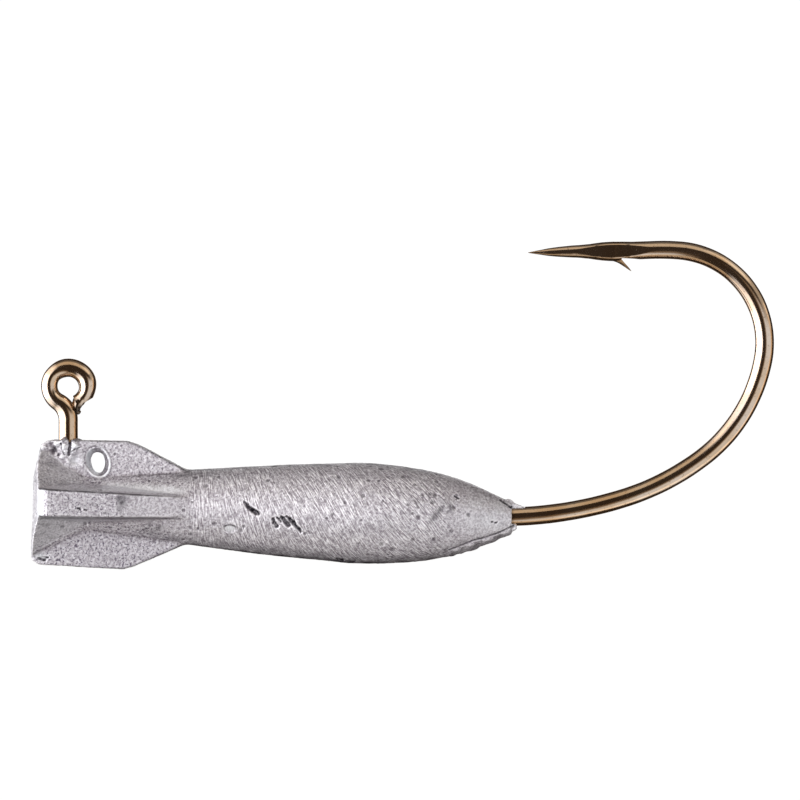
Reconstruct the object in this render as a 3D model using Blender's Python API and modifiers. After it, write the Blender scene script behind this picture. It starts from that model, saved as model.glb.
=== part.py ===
"""Finned lead jig head moulded on a wire hook.

Frame: metres, +Z up. The origin is the centre of the line eye. +X runs along the head from its
finned front end towards the hook's bend, and the hook's wire lies in the plane Y = 0.
"""
import math

import bmesh
import bpy
from mathutils import Matrix, Vector

# ---------------------------------------------------------------- driving dimensions (metres, degrees)
AXIS_Z = -0.01135            # centre line of the cast head
SHANK_Z = -0.01125           # centre line of the wire inside it, and of the side fins

# hook wire
WIRE_R = 0.00095
EYE_R = 0.00185              # centre line of the eye
EYE_END = -62.0              # where the eye's cut end stands on its circle
NECK_R = 0.0020              # bend between eye and post
POST_TOP_X = 0.0001          # where the post begins, just off the eye's middle
POST_LEAN = 2.0              # the post leans back towards the front end
KNEE_R = 0.0025              # bend between post and shank, inside the lead
SHANK_END_X = 0.0410         # where the wire starts to curve, just inside the lead
BEND = ((0.0400, 19.2), (0.0250, 19.9), (0.0155, 42.2), (0.0090, 96.0), (0.0250, 6.2))
POINT_LEG = 0.0120           # straight part that carries the barb and the point
POINT_PROFILE = ((0.0, 0.00003), (0.0014, 0.00027), (0.0030, 0.00050), (0.0045, 0.00060),
                 (0.0060, 0.00074), (0.0080, 0.00094), (0.0095, WIRE_R))  # from the tip, radius
BARB_ROOT = 0.0080           # distance from the tip to the barb's root
BARB_DROP = 0.00028          # from the wire's centre line to the barb's root
BARB_LENGTH = 0.00272
BARB_ANGLE = 41.5            # between the barb and the wire
BARB_WIDTH = 0.00120         # across the wire, at the root
BARB_THICKNESS = 0.00115     # along the wire, at the root

# cast head: radius along X, swelling towards the bend and closing round the wire
HEAD_END_X = 0.0434
HEAD_PROFILE = ((-0.0036, 0.00240), (0.0124, 0.00369), (0.0190, 0.00427), (0.0248, 0.00466),
                (0.0295, 0.00490), (0.0350, 0.00441), (0.0394, 0.00325), (HEAD_END_X, 0.00150))
HEAD_SIDES = 64
WIRE_GAP = 0.0002            # play between the wire and its channel

# fins
FRONT_X = -0.0031            # front end, on the mould's parting plane
FRONT_STOCK = 0.0005         # fins are made this much longer, then trimmed to the drafted front
FRONT_DRAFT = 7.0
FIN_THICKNESS = 0.0028       # fins on the parting plane
FIN_TIP = 0.00605
FIN_OUTLINE = ((-0.0036, 0.00495), (-0.0026, FIN_TIP), (0.0059, 0.00620), (0.0069, 0.00593),
               (0.0083, 0.00530), (0.0119, 0.00358))      # X, height above the axis
SIDE_FIN_TIP = 0.0059
SIDE_FIN_SECTIONS = ((-0.0036, 0.0043, 0.00130), (-0.0016, SIDE_FIN_TIP, 0.00128),
                     (0.0053, SIDE_FIN_TIP, 0.00112), (0.0124, 0.0036, 0.00096))  # X, reach, half width
SIDE_FIN_DRAFT = 10.0
WEB_RADIUS = 0.00704         # corner radius of the four-sided web, at the end of the stock
WEB_END_X = 0.0085
WEB_LIMIT = 0.00535          # the web's corners end inside the fins, this far from the axis

# hole through the upper fin, left by two core pins that don't quite line up
HOLE_R_FACE = 0.00148
HOLE_R_MIDDLE = 0.00095
HOLE_NEAR = (0.00306, 0.00413)    # X, height above the axis
HOLE_FAR = (0.00344, 0.00393)
HOLE_OVERLAP = 0.00005

# colours
BRONZE = (0.30, 0.20, 0.10)
LEAD = (0.56, 0.56, 0.60)


# ---------------------------------------------------------------- scene helpers
def clear_scene():
    for old in list(bpy.data.objects):
        bpy.data.objects.remove(old, do_unlink=True)


def new_collection(name):
    collection = bpy.data.collections.new(name)
    bpy.context.scene.collection.children.link(collection)
    return collection


def metal(name, colour, roughness):
    material = bpy.data.materials.new(name)
    material.use_nodes = True
    shader = material.node_tree.nodes["Principled BSDF"]
    shader.inputs["Base Color"].default_value = (*colour, 1.0)
    shader.inputs["Metallic"].default_value = 1.0
    shader.inputs["Roughness"].default_value = roughness
    return material


def add_object(name, data, collection):
    obj = bpy.data.objects.new(name, data)
    collection.objects.link(obj)
    return obj


def add_cutter(name, mesh):
    obj = add_object(name, mesh, CUTTERS)
    obj.hide_render = True
    obj.display_type = "WIRE"
    return obj


def boolean(target, operation, tool):
    modifier = target.modifiers.new(tool.name, "BOOLEAN")
    modifier.operation = operation
    modifier.object = tool
    modifier.solver = "EXACT"


def mesh_from(bm, name):
    bmesh.ops.recalc_face_normals(bm, faces=bm.faces)
    mesh = bpy.data.meshes.new(name)
    bm.to_mesh(mesh)
    bm.free()
    return mesh


def curve_to_mesh(curve_obj, name):
    """Turn a curve object into a welded closed mesh in world space, and remove the curve."""
    bpy.context.view_layer.update()
    evaluated = curve_obj.evaluated_get(bpy.context.evaluated_depsgraph_get())
    mesh = bpy.data.meshes.new_from_object(evaluated)
    mesh.name = name
    mesh.transform(curve_obj.matrix_world)
    bm = bmesh.new()
    bm.from_mesh(mesh)
    bmesh.ops.remove_doubles(bm, verts=bm.verts, dist=1e-6)
    bm.to_mesh(mesh)
    bm.free()
    bpy.data.objects.remove(curve_obj, do_unlink=True)
    return mesh


# ---------------------------------------------------------------- the wire's path
class WirePath:
    """A line drawn in the plane Y = 0 by going straight and turning; positive turns go left."""

    def __init__(self, x, z, heading):
        self.points = [Vector((x, 0.0, z))]
        self.heading = math.radians(heading)

    def straight(self, length, pieces=1):
        start = self.points[-1].copy()
        ahead = Vector((math.cos(self.heading), 0.0, math.sin(self.heading)))
        for piece in range(1, pieces + 1):
            self.points.append(start + ahead * (length * piece / pieces))

    def arc(self, radius, turn, step=13.0):
        side = math.copysign(1.0, turn)
        to_centre = Vector((-math.sin(self.heading), 0.0, math.cos(self.heading))) * (side * radius)
        centre = self.points[-1] + to_centre
        pieces = max(3, math.ceil(abs(turn) / step))
        for piece in range(1, pieces + 1):
            turned = Matrix.Rotation(-math.radians(turn) * piece / pieces, 3, "Y")
            self.points.append(centre - turned @ to_centre)
        self.heading += math.radians(turn)


def wire_path():
    """The hook's centre line from the eye's cut end to the point, and where its post begins."""
    start = math.radians(EYE_END)
    path = WirePath(EYE_R * math.cos(start), EYE_R * math.sin(start), EYE_END + 90.0)
    # The eye and the neck are circles that touch, and the post runs down beside the neck's centre.
    eye_stop = 180.0 + math.degrees(math.acos((NECK_R - POST_TOP_X) / (EYE_R + NECK_R)))
    path.arc(EYE_R, eye_stop - EYE_END)
    path.arc(NECK_R, 180.0 + POST_LEAN - eye_stop)
    post_start = len(path.points) - 1
    lean = math.radians(POST_LEAN)
    knee_height = KNEE_R * (1.0 - math.sin(lean))
    path.straight((path.points[-1].z - SHANK_Z - knee_height) / math.cos(lean))
    path.arc(KNEE_R, 90.0 - POST_LEAN)
    path.straight(SHANK_END_X - path.points[-1].x)
    for radius, turn in BEND:
        path.arc(radius, turn)
    path.straight(POINT_LEG, pieces=12)
    return path, post_start


def interpolate(profile, at):
    for (start, low), (end, high) in zip(profile, profile[1:]):
        if at <= end:
            return low + (high - low) * (at - start) / (end - start)
    return profile[-1][1]


def tube(name, points, radii):
    """A closed twelve-sided tube along the points, as a mesh."""
    curve = bpy.data.curves.new(name, "CURVE")
    curve.dimensions = "3D"
    curve.bevel_depth = 1.0
    curve.bevel_resolution = 4
    curve.use_fill_caps = True
    spline = curve.splines.new("POLY")
    spline.points.add(len(points) - 1)
    for spline_point, place, radius in zip(spline.points, points, radii):
        spline_point.co = (*place, 1.0)
        spline_point.radius = radius
    return curve_to_mesh(add_object(name, curve, CUTTERS), name)


# ---------------------------------------------------------------- hook
def barb_mesh(root, direction):
    """A thin tapering sliver raised from the wire, pointing back towards the bend."""
    bm = bmesh.new()
    bmesh.ops.create_cone(bm, cap_ends=True, segments=8, radius1=0.5, radius2=0.03,
                          depth=BARB_LENGTH)
    bmesh.ops.translate(bm, verts=bm.verts, vec=(0.0, 0.0, BARB_LENGTH / 2))
    flatten = Matrix.Diagonal((BARB_THICKNESS, BARB_WIDTH, 1.0, 1.0))
    aim = direction.to_track_quat("Z", "Y").to_matrix().to_4x4()
    bmesh.ops.transform(bm, matrix=Matrix.Translation(root) @ aim @ flatten, verts=bm.verts)
    return mesh_from(bm, "barb")


def make_hook(path):
    lengths = [0.0]
    for before, after in zip(reversed(path.points), reversed(path.points[:-1])):
        lengths.append(lengths[-1] + (before - after).length)
    radii = [interpolate(POINT_PROFILE, length) for length in reversed(lengths)]
    hook = add_object("hook", tube("hook", path.points, radii), PARTS)

    tip = path.points[-1]
    back = (path.points[-2] - tip).normalized()
    below = Matrix.Rotation(math.pi / 2, 3, "Y") @ back
    root = tip + back * BARB_ROOT + below * BARB_DROP
    aim = Matrix.Rotation(math.radians(BARB_ANGLE), 3, "Y") @ back
    boolean(hook, "UNION", add_cutter("barb", barb_mesh(root, aim)))
    hook.data.materials.append(metal("bronze_wire", BRONZE, 0.22))
    return hook


# ---------------------------------------------------------------- cast lead head
def smooth_profile(anchors, pieces):
    """Points on a smooth curve (Catmull-Rom) through the anchors."""
    ends = [anchors[0], *anchors, anchors[-1]]
    points = [Vector(anchors[0])]
    for before, start, end, after in zip(ends, ends[1:], ends[2:], ends[3:]):
        before, start, end, after = (Vector(p) for p in (before, start, end, after))
        for piece in range(1, pieces + 1):
            t = piece / pieces
            points.append(0.5 * (2 * start + (end - before) * t
                                 + (2 * before - 5 * start + 4 * end - after) * t ** 2
                                 + (3 * start - before - 3 * end + after) * t ** 3))
    return points


def turned_body():
    """The round body: its outline runs from the bend end to the front end, for the Screw."""
    outline = [(0.0, HEAD_END_X)]
    outline += [(radius, x) for x, radius in reversed(smooth_profile(HEAD_PROFILE, 3))]
    outline.append((0.0, HEAD_PROFILE[0][0]))
    mesh = bpy.data.meshes.new("lead_head")
    edges = [(i, i + 1) for i in range(len(outline) - 1)]
    mesh.from_pydata([(radius, 0.0, x) for radius, x in outline], edges, [])
    body = add_object("lead_head", mesh, PARTS)
    body.location = (0.0, 0.0, AXIS_Z)
    body.rotation_euler = (0.0, math.pi / 2, 0.0)
    screw = body.modifiers.new("turn", "SCREW")
    screw.steps = HEAD_SIDES
    screw.render_steps = HEAD_SIDES
    screw.use_merge_vertices = True
    screw.merge_threshold = 0.00001
    return body


def fin_plate():
    """The upper and lower fins as one flat plate on the parting plane."""
    curve = bpy.data.curves.new("fin_plate", "CURVE")
    curve.dimensions = "2D"
    curve.fill_mode = "BOTH"
    curve.extrude = FIN_THICKNESS / 2
    outline = list(FIN_OUTLINE) + [(x, -height) for x, height in reversed(FIN_OUTLINE)]
    spline = curve.splines.new("POLY")
    spline.points.add(len(outline) - 1)
    spline.use_cyclic_u = True
    for spline_point, (x, height) in zip(spline.points, outline):
        spline_point.co = (x, height, 0.0, 1.0)
    plate = add_object("fin_plate", curve, CUTTERS)
    plate.location = (0.0, 0.0, AXIS_Z)
    plate.rotation_euler = (math.pi / 2, 0.0, 0.0)
    return add_cutter("fin_plate", curve_to_mesh(plate, "fin_plate"))


def side_fins():
    """The two side fins as one body whose flanks are drafted so that it leaves the mould."""
    widening = math.tan(math.radians(SIDE_FIN_DRAFT))
    bm = bmesh.new()
    for x, reach, half_width in SIDE_FIN_SECTIONS:
        for up in (-1.0, 1.0):
            bm.verts.new((x, 0.0, SHANK_Z + up * (half_width + reach * widening)))
            for side in (-1.0, 1.0):
                bm.verts.new((x, side * reach, SHANK_Z + up * half_width))
    hull = bmesh.ops.convex_hull(bm, input=bm.verts)
    inner = [v for v in hull["geom_interior"] if isinstance(v, bmesh.types.BMVert)]
    bmesh.ops.delete(bm, geom=inner, context="VERTS")
    return add_cutter("side_fins", mesh_from(bm, "side_fins"))


def corner_webs():
    """The four-sided pyramid that fills the corners between the fins, and ends inside them."""
    length = WEB_END_X - FRONT_X + FRONT_STOCK
    bm = bmesh.new()
    bmesh.ops.create_cone(bm, cap_ends=True, segments=4, radius1=WEB_RADIUS, radius2=0.0005,
                          depth=length)
    place = Matrix.Translation((WEB_END_X - length / 2, 0.0, AXIS_Z))
    bmesh.ops.transform(bm, matrix=place @ Matrix.Rotation(math.pi / 2, 4, "Y"), verts=bm.verts)
    webs = add_cutter("corner_webs", mesh_from(bm, "corner_webs"))

    bm = bmesh.new()
    size = Matrix.Diagonal((4 * length, 2 * WEB_LIMIT, 2 * WEB_LIMIT, 1.0))
    bmesh.ops.create_cube(bm, size=1.0, matrix=Matrix.Translation((0.0, 0.0, AXIS_Z)) @ size)
    boolean(webs, "INTERSECT", add_cutter("web_limit", mesh_from(bm, "web_limit")))
    return webs


def front_trim(name, side):
    """A block whose face is the drafted front on one side of the parting plane."""
    block = 0.03
    bm = bmesh.new()
    bmesh.ops.create_cube(bm, size=block)
    bmesh.ops.translate(bm, verts=bm.verts, vec=(-block / 2, side * (block / 2 - 0.001), 0.0))
    turn = Matrix.Rotation(-side * math.radians(FRONT_DRAFT), 4, "Z")
    place = Matrix.Translation((FRONT_X, 0.0, AXIS_Z))
    bmesh.ops.transform(bm, matrix=place @ turn, verts=bm.verts)
    return add_cutter(name, mesh_from(bm, name))


def hole_core(name, centre, side):
    """One tapered core pin, from outside a fin's face to just past the parting plane."""
    reach = FIN_THICKNESS / 2 + HOLE_OVERLAP
    growth = (HOLE_R_FACE - HOLE_R_MIDDLE) / (FIN_THICKNESS / 2)
    depth = 2 * reach
    bm = bmesh.new()
    bmesh.ops.create_cone(bm, cap_ends=True, segments=24, radius1=HOLE_R_MIDDLE,
                          radius2=HOLE_R_MIDDLE + growth * depth, depth=depth)
    bmesh.ops.translate(bm, verts=bm.verts, vec=(0.0, 0.0, depth / 2 - HOLE_OVERLAP))
    place = Matrix.Translation((centre[0], 0.0, AXIS_Z + centre[1]))
    turn = Matrix.Rotation(-side * math.pi / 2, 4, "X")
    bmesh.ops.transform(bm, matrix=place @ turn, verts=bm.verts)
    return add_cutter(name, mesh_from(bm, name))


def make_lead_head(path, post_start):
    head = turned_body()
    for tool in (corner_webs(), fin_plate(), side_fins()):
        boolean(head, "UNION", tool)
    for name, side in (("front_trim_near", -1.0), ("front_trim_far", 1.0)):
        boolean(head, "DIFFERENCE", front_trim(name, side))
    for name, centre, side in (("hole_near", HOLE_NEAR, -1.0), ("hole_far", HOLE_FAR, 1.0)):
        boolean(head, "DIFFERENCE", hole_core(name, centre, side))
    past_exit = next(i for i, p in enumerate(path.points) if p.x > HEAD_END_X + 0.002)
    inside = path.points[post_start:past_exit + 1]
    channel = tube("wire_channel", inside, [WIRE_R + WIRE_GAP] * len(inside))
    boolean(head, "DIFFERENCE", add_cutter("wire_channel", channel))
    head.data.materials.append(metal("cast_lead", LEAD, 0.45))
    return head


def shade(obj):
    obj.data.shade_smooth()
    obj.data.set_sharp_from_angle(angle=math.radians(35.0))


clear_scene()
PARTS = new_collection("jig_head")
CUTTERS = new_collection("cutters")
WIRE, POST_START = wire_path()
for part in (make_hook(WIRE), make_lead_head(WIRE, POST_START)):
    shade(part)
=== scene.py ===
"""Looks of a jig head: a bronzed wire hook with a cast lead head, under soft studio light."""

import math

import bmesh
import bpy
import numpy as np
from mathutils import Matrix, Vector


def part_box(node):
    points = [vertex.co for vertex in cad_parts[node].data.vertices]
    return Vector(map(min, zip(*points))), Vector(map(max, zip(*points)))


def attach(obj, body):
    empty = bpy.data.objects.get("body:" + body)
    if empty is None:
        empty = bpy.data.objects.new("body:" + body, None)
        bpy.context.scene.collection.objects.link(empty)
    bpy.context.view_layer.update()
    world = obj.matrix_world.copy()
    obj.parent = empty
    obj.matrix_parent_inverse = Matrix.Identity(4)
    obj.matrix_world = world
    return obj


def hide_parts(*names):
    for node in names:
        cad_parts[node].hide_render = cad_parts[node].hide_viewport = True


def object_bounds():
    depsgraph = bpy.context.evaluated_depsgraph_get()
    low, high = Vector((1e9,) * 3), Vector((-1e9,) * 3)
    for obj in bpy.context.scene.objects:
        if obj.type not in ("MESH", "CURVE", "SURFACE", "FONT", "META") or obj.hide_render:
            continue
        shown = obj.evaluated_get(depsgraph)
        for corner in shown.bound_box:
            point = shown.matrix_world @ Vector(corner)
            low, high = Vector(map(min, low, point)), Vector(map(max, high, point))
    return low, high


MM = 0.001

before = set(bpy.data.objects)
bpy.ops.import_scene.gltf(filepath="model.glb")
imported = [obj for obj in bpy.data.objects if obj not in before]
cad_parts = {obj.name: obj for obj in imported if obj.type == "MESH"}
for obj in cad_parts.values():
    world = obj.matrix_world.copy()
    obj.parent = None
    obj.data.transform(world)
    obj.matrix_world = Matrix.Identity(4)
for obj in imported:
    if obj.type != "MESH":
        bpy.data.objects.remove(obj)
cad_low, cad_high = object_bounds()
hook_low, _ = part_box("hook")
lead_low, lead_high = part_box("lead_head")


# ---------------- the wire's sizes, in millimetres
# its radius in CAD, as it is seen, and as it is seen at the eye and the post
WIRE_R = 0.95
SEEN_R = 0.915
POST_R = 0.94
# the eye: its ring's radius, the wire's half width in the ring's plane, and its first heading in degrees
EYE_R = 1.85
EYE_HALF = 0.8
EYE_END = -62.0
# the ring is a little lower and thicker at its top, within this run of wire
RING_RUN = 12.0
RING_TOP_DROP = 0.09
RING_TOP_SWELL = 0.11
# from the eye down to the shank: a neck, a leaning post and a knee inside the lead
NECK_R = 2.0
POST_TOP_X = 0.1
POST_LEAN = 2.0
KNEE_R = 2.5
SHANK_END_X = 41.0
# the bend's arcs, each a radius and a turn in degrees, and the straight leg up to the point
BEND = ((40.0, 19.2), (25.0, 19.9), (15.5, 42.2), (9.0, 96.0), (25.0, 6.2))
POINT_LEG = 12.0
# the wire's radius, and how far the leg is raised, at distances from the point's tip
POINT_PROFILE = (
    (0.0, 0.02), (0.2, 0.06), (0.8, 0.17), (1.4, 0.27), (1.9, 0.36), (2.5, 0.435), (3.1, 0.5),
    (4.3, 0.595), (4.9, 0.62), (5.4, 0.67), (6.0, 0.73), (6.6, 0.825), (7.2, 0.895), (7.75, 0.93),
    (8.3, 0.955), (9.2, 0.93), (10.2, 0.875), (11.5, 0.875), (14.0, 0.89), (22.0, SEEN_R),
)
LEG_RISE = ((0.0, 0.0), (4.5, 0.0), (8.5, -0.1), (10.5, -0.07), (14.0, -0.03), (20.0, 0.0))
WIRE_SIDES = 56
ARC_STEP = 3.0

EYE_X = hook_low.x / MM + EYE_R + WIRE_R
SHANK_Z = hook_low.z / MM + WIRE_R
AXIS_Z = (lead_low.z + lead_high.z) / 2 / MM
TAIL_X = lead_low.x / MM


# ---------------- small tools
def lattice(ix, iy, iz, seed):
    """A repeatable random number from 0 to 1 for each whole-number point: its scrambled bits."""
    n = (ix * 374761393 + iy * 668265263 + iz * 2147483647 + seed * 1274126177) & 0xFFFFFFFF
    n = ((n ^ (n >> 13)) * 1274126177) & 0xFFFFFFFF
    n = ((n ^ (n >> 15)) * 668265263) & 0xFFFFFFFF
    return ((n ^ (n >> 16)) & 0xFFFFFF) / 0xFFFFFF


def noise(points, size, seed):
    """Smooth noise from -1 to 1. size is one number or one for each axis."""
    q = points / np.asarray(size, float)
    cell = np.floor(q).astype(np.int64)
    f = q - cell
    f = f * f * (3.0 - 2.0 * f)
    total = np.zeros(len(points))
    for corner in np.ndindex(2, 2, 2):
        share = np.where(corner, f, 1 - f)
        total += share[:, 0] * share[:, 1] * share[:, 2] * lattice(*(cell + corner).T, seed)
    return total * 2.0 - 1.0


def pits(points, size, share, seed):
    """1 at the middle of scattered pits and 0 outside them. share is how many cells have one."""
    q = points / size
    cell = np.floor(q).astype(np.int64)
    best = np.zeros(len(points))
    for step in np.ndindex(3, 3, 3):
        c = (cell + step - 1).T
        there = lattice(*c, seed) < share
        centre = np.stack([c[k] + lattice(*c, seed + 7 + k) for k in range(3)], axis=1)
        radius = 0.18 + 0.3 * lattice(*c, seed + 13)
        gap = np.linalg.norm(q - centre, axis=1) / radius
        best = np.maximum(best, np.where(there, np.clip(1.0 - gap * gap, 0, 1), 0.0))
    return best


def ease(value, low, high):
    """0 below low, 1 above high and smooth between them. low may be the larger."""
    t = np.clip((value - low) / (high - low), 0.0, 1.0)
    return t * t * (3.0 - 2.0 * t)


def bell(value, middle, spread):
    """1 at the middle and falling off softly on both sides."""
    return np.exp(-((value - middle) / spread) ** 2)


def add_object(name, data):
    obj = bpy.data.objects.new(name, data)
    bpy.context.scene.collection.objects.link(obj)
    return obj


def object_from(name, bm):
    """An object with bm's faces. It frees bm."""
    mesh = bpy.data.meshes.new(name)
    bm.to_mesh(mesh)
    bm.free()
    return add_object(name, mesh)


def loft(name, rings):
    """A closed skin through rings of points, with a face over both ends."""
    bm = bmesh.new()
    rings = [[bm.verts.new(point) for point in ring] for ring in rings]
    for before, after in zip(rings, rings[1:]):
        for k in range(len(before)):
            j = (k + 1) % len(before)
            bm.faces.new((before[k], before[j], after[j], after[k]))
    bm.faces.new(rings[0])
    bm.faces.new(list(reversed(rings[-1])))
    bmesh.ops.recalc_face_normals(bm, faces=bm.faces)
    return object_from(name, bm)


def prism(name, outline, half_width):
    """A block with that outline in the XZ plane."""
    return loft(name, [[(x, y, z) for x, z in outline] for y in (-half_width, half_width)])


def apply_modifiers(obj):
    """Puts the modifiers' result into the object's own mesh."""
    bpy.context.view_layer.update()
    graph = bpy.context.evaluated_depsgraph_get()
    mesh = bpy.data.meshes.new_from_object(obj.evaluated_get(graph), preserve_all_data_layers=True,
                                           depsgraph=graph)
    obj.modifiers.clear()
    old = obj.data
    obj.data = mesh
    bpy.data.meshes.remove(old)


def boolean(obj, operation, tool):
    """Joins tool to obj or cuts it out of obj, and removes tool."""
    modifier = obj.modifiers.new(operation.lower(), "BOOLEAN")
    modifier.operation = operation
    modifier.solver = "EXACT"
    modifier.object = tool
    apply_modifiers(obj)
    bpy.data.objects.remove(tool)


def read(items, key, width, kind=float):
    """One property of a mesh's vertices or edges, as one row for each."""
    values = np.zeros(len(items) * width, kind)
    items.foreach_get(key, values)
    return values.reshape(-1, width)


def set_coordinates(mesh, co):
    mesh.vertices.foreach_set("co", co.ravel())
    mesh.update()


def smoothed(values, pairs, rounds):
    """Each vertex's values, moved halfway to the average of its neighbours in each round."""
    count = np.bincount(pairs.ravel(), minlength=len(values))[:, None].clip(1)
    for _ in range(rounds):
        total = np.zeros_like(values)
        for k in range(values.shape[1]):
            total[:, k] = (np.bincount(pairs[:, 0], values[pairs[:, 1], k], len(values))
                           + np.bincount(pairs[:, 1], values[pairs[:, 0], k], len(values)))
        values = values + 0.5 * (total / count - values)
    return values


def set_attribute(mesh, name, values):
    """A number or a vector for each vertex, for a material to read."""
    kind, key = ("FLOAT", "value") if values.ndim == 1 else ("FLOAT_VECTOR", "vector")
    attribute = mesh.attributes.new(name, kind, "POINT")
    attribute.data.foreach_set(key, values.astype(np.float32).ravel())


# ---------------- the wire's path
class WirePath:
    """A wire laid in straight and curved stretches. Headings are anticlockwise from +X."""

    def __init__(self, x, z, heading):
        self.points = [Vector((x, 0.0, z))]
        self.heading = math.radians(heading)

    def straight(self, length, step=0.4):
        start = self.points[-1].copy()
        ahead = Vector((math.cos(self.heading), 0.0, math.sin(self.heading)))
        count = max(1, math.ceil(length / step))
        for piece in range(1, count + 1):
            self.points.append(start + ahead * (length * piece / count))

    def arc(self, radius, turn):
        side = math.copysign(1.0, turn)
        to_centre = Vector((-math.sin(self.heading), 0.0, math.cos(self.heading)))
        to_centre *= side * radius
        centre = self.points[-1] + to_centre
        count = max(3, math.ceil(abs(turn) / min(ARC_STEP, 22.0 / radius)))
        for piece in range(1, count + 1):
            turned = Matrix.Rotation(-math.radians(turn) * piece / count, 3, "Y")
            self.points.append(centre - turned @ to_centre)
        self.heading += math.radians(turn)


def wire_path():
    start = math.radians(EYE_END)
    path = WirePath(EYE_X + EYE_R * math.cos(start), EYE_R * math.sin(start), EYE_END + 90.0)
    eye_stop = 180.0 + math.degrees(math.acos((NECK_R - POST_TOP_X) / (EYE_R + NECK_R)))
    path.arc(EYE_R, eye_stop - EYE_END)
    path.arc(NECK_R, 180.0 + POST_LEAN - eye_stop)
    lean = math.radians(POST_LEAN)
    knee_height = KNEE_R * (1.0 - math.sin(lean))
    path.straight((path.points[-1].z - SHANK_Z - knee_height) / math.cos(lean))
    path.arc(KNEE_R, 90.0 - POST_LEAN)
    path.straight(SHANK_END_X - path.points[-1].x, 1.2)
    for radius, turn in BEND:
        path.arc(radius, turn)
    path.straight(POINT_LEG, 0.16)
    return np.array(path.points)


def swept(name, centres, radii, sides, shape=None):
    """A closed round sweep along points in the XZ plane. shape(a, b) may reshape its rings.

    a is the reach in the plane and b the reach sideways. Both come back with the object.
    """
    tangents = np.gradient(centres, axis=0)
    tangents /= np.linalg.norm(tangents, axis=1)[:, None]
    across = np.stack([-tangents[:, 2], np.zeros(len(centres)), tangents[:, 0]], axis=1)
    turn = np.arange(sides) * (2 * math.pi / sides)
    a = radii[:, None] * np.cos(turn)[None, :]
    b = radii[:, None] * np.sin(turn)[None, :]
    if shape:
        a, b = shape(a, b)
    rings = centres[:, None, :] + a[:, :, None] * across[:, None, :]
    rings[:, :, 1] += b
    return loft(name, rings), a, b


# ---------------- hook
# flats pressed on the leg's sides, and the cut behind the barb, at distances from the point's tip
FLAT_START, FLAT_MIDDLE, FLAT_END = 4.3, 8.4, 12.4
FLAT_HALF = 0.64
NOTCH_START, NOTCH_END, NOTCH_DEPTH = 9.1, 10.9, 0.26
# sections of the barb: x, low z, high z, half width
BARB = (
    (50.6, 14.18, 14.62, 0.4), (51.5, 14.05, 14.62, 0.5), (52.33, 13.95, 14.62, 0.56),
    (52.7, 13.84, 14.55, 0.53), (53.0, 13.71, 14.36, 0.45), (53.18, 13.61, 14.14, 0.38),
    (53.36, 13.5, 13.93, 0.32), (53.6, 13.35, 13.69, 0.25), (53.85, 13.19, 13.44, 0.17),
    (54.05, 13.07, 13.22, 0.1), (54.18, 13.01, 13.06, 0.04),
)
# what is nipped off the eye's end: x and z. The burr left there: x, z, radius
NIP_FACE = (
    (2.7, -0.9), (1.98, -1.33), (1.52, -1.6), (1.3, -1.92), (1.18, -2.3), (1.15, -3.3), (3.4, -2.6),
)
BURR = (
    (1.3, -1.12, 0.6), (1.02, -1.45, 0.58), (0.9, -1.8, 0.5), (0.86, -2.1, 0.42), (0.92, -2.4, 0.33),
    (1.04, -2.57, 0.22), (1.17, -2.5, 0.14), (1.25, -2.36, 0.06),
)


def barb_object():
    """A sliver with a rounded outer side, raised from the wire and pointing back to the bend."""
    across = np.concatenate([np.linspace(-1, 1, 9), np.linspace(1, 0, 10)[1:],
                             np.linspace(0, -1, 10)[1:-1]])
    on_top = np.arange(len(across)) < 9
    rings = []
    for x, low, high, half in BARB:
        ring = []
        for c, top in zip(across, on_top):
            crown = 0.06 * (high - low) * (1 - c * c)
            z = high + crown if top else low + (high - low) * abs(c) ** 1.25
            ring.append((x, half * c, z))
        rings.append(ring)
    return loft("barb", rings)


def burr_object():
    """The burr that hangs from the eye's nipped end."""
    x, z, radius = zip(*BURR)
    known = range(len(BURR))
    fine = np.linspace(0, len(BURR) - 1, 25)
    centres = np.stack([np.interp(fine, known, x), np.zeros(len(fine)), np.interp(fine, known, z)],
                       axis=1)
    return swept("burr", centres, np.interp(fine, known, radius), 20)[0]


def seen_wire():
    """The wire's centres, how far each one is along the wire, and the wire's radius there."""
    centres = wire_path()
    steps = np.linalg.norm(np.diff(centres, axis=0), axis=1)
    run = np.concatenate([[0.0], np.cumsum(steps)])
    to_tip = run[-1] - run
    radii = np.interp(to_tip, *zip(*POINT_PROFILE))
    radii += (POST_R - SEEN_R) * ease(run, 24.0, 18.0) * (to_tip > 30.0)
    radii *= 1.0 + 0.004 * np.sin(run * 0.9) + 0.003 * np.sin(run * 2.3 + 1.0)
    centres[:, 2] += np.interp(to_tip, *zip(*LEG_RISE))
    centres[:, 2] -= RING_TOP_DROP * ease(centres[:, 2], 0.5, 1.8) * (run < RING_RUN)
    return centres, run, radii


def ring_swell(centres, run):
    """How much the wire is widened in the ring's plane: less than nothing where it is squeezed."""
    ring_end = EYE_R * math.radians(180.0 - EYE_END)
    squeezed = (EYE_HALF / POST_R - 1.0) * ease(run, ring_end + 3.2, ring_end + 0.6)
    at_top = ease(centres[:, 2] + 0.5 * (centres[:, 0] - EYE_X), 0.2, 1.7)
    return squeezed + RING_TOP_SWELL * at_top * (run < RING_RUN)


def pressed_flats(b, radii, to_tip):
    """The wire's sideways reach b, with flats pressed on both sides behind the point."""
    rise = np.interp(to_tip, (FLAT_START, FLAT_MIDDLE, FLAT_END), (0.0, 1.0, 0.0))
    half = FLAT_HALF * np.sin(rise * math.pi / 2) ** 0.9
    flat = np.sqrt(np.maximum(radii ** 2 - half ** 2, 0.0))
    return np.sign(b) * np.minimum(np.abs(b), flat[:, None])


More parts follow.
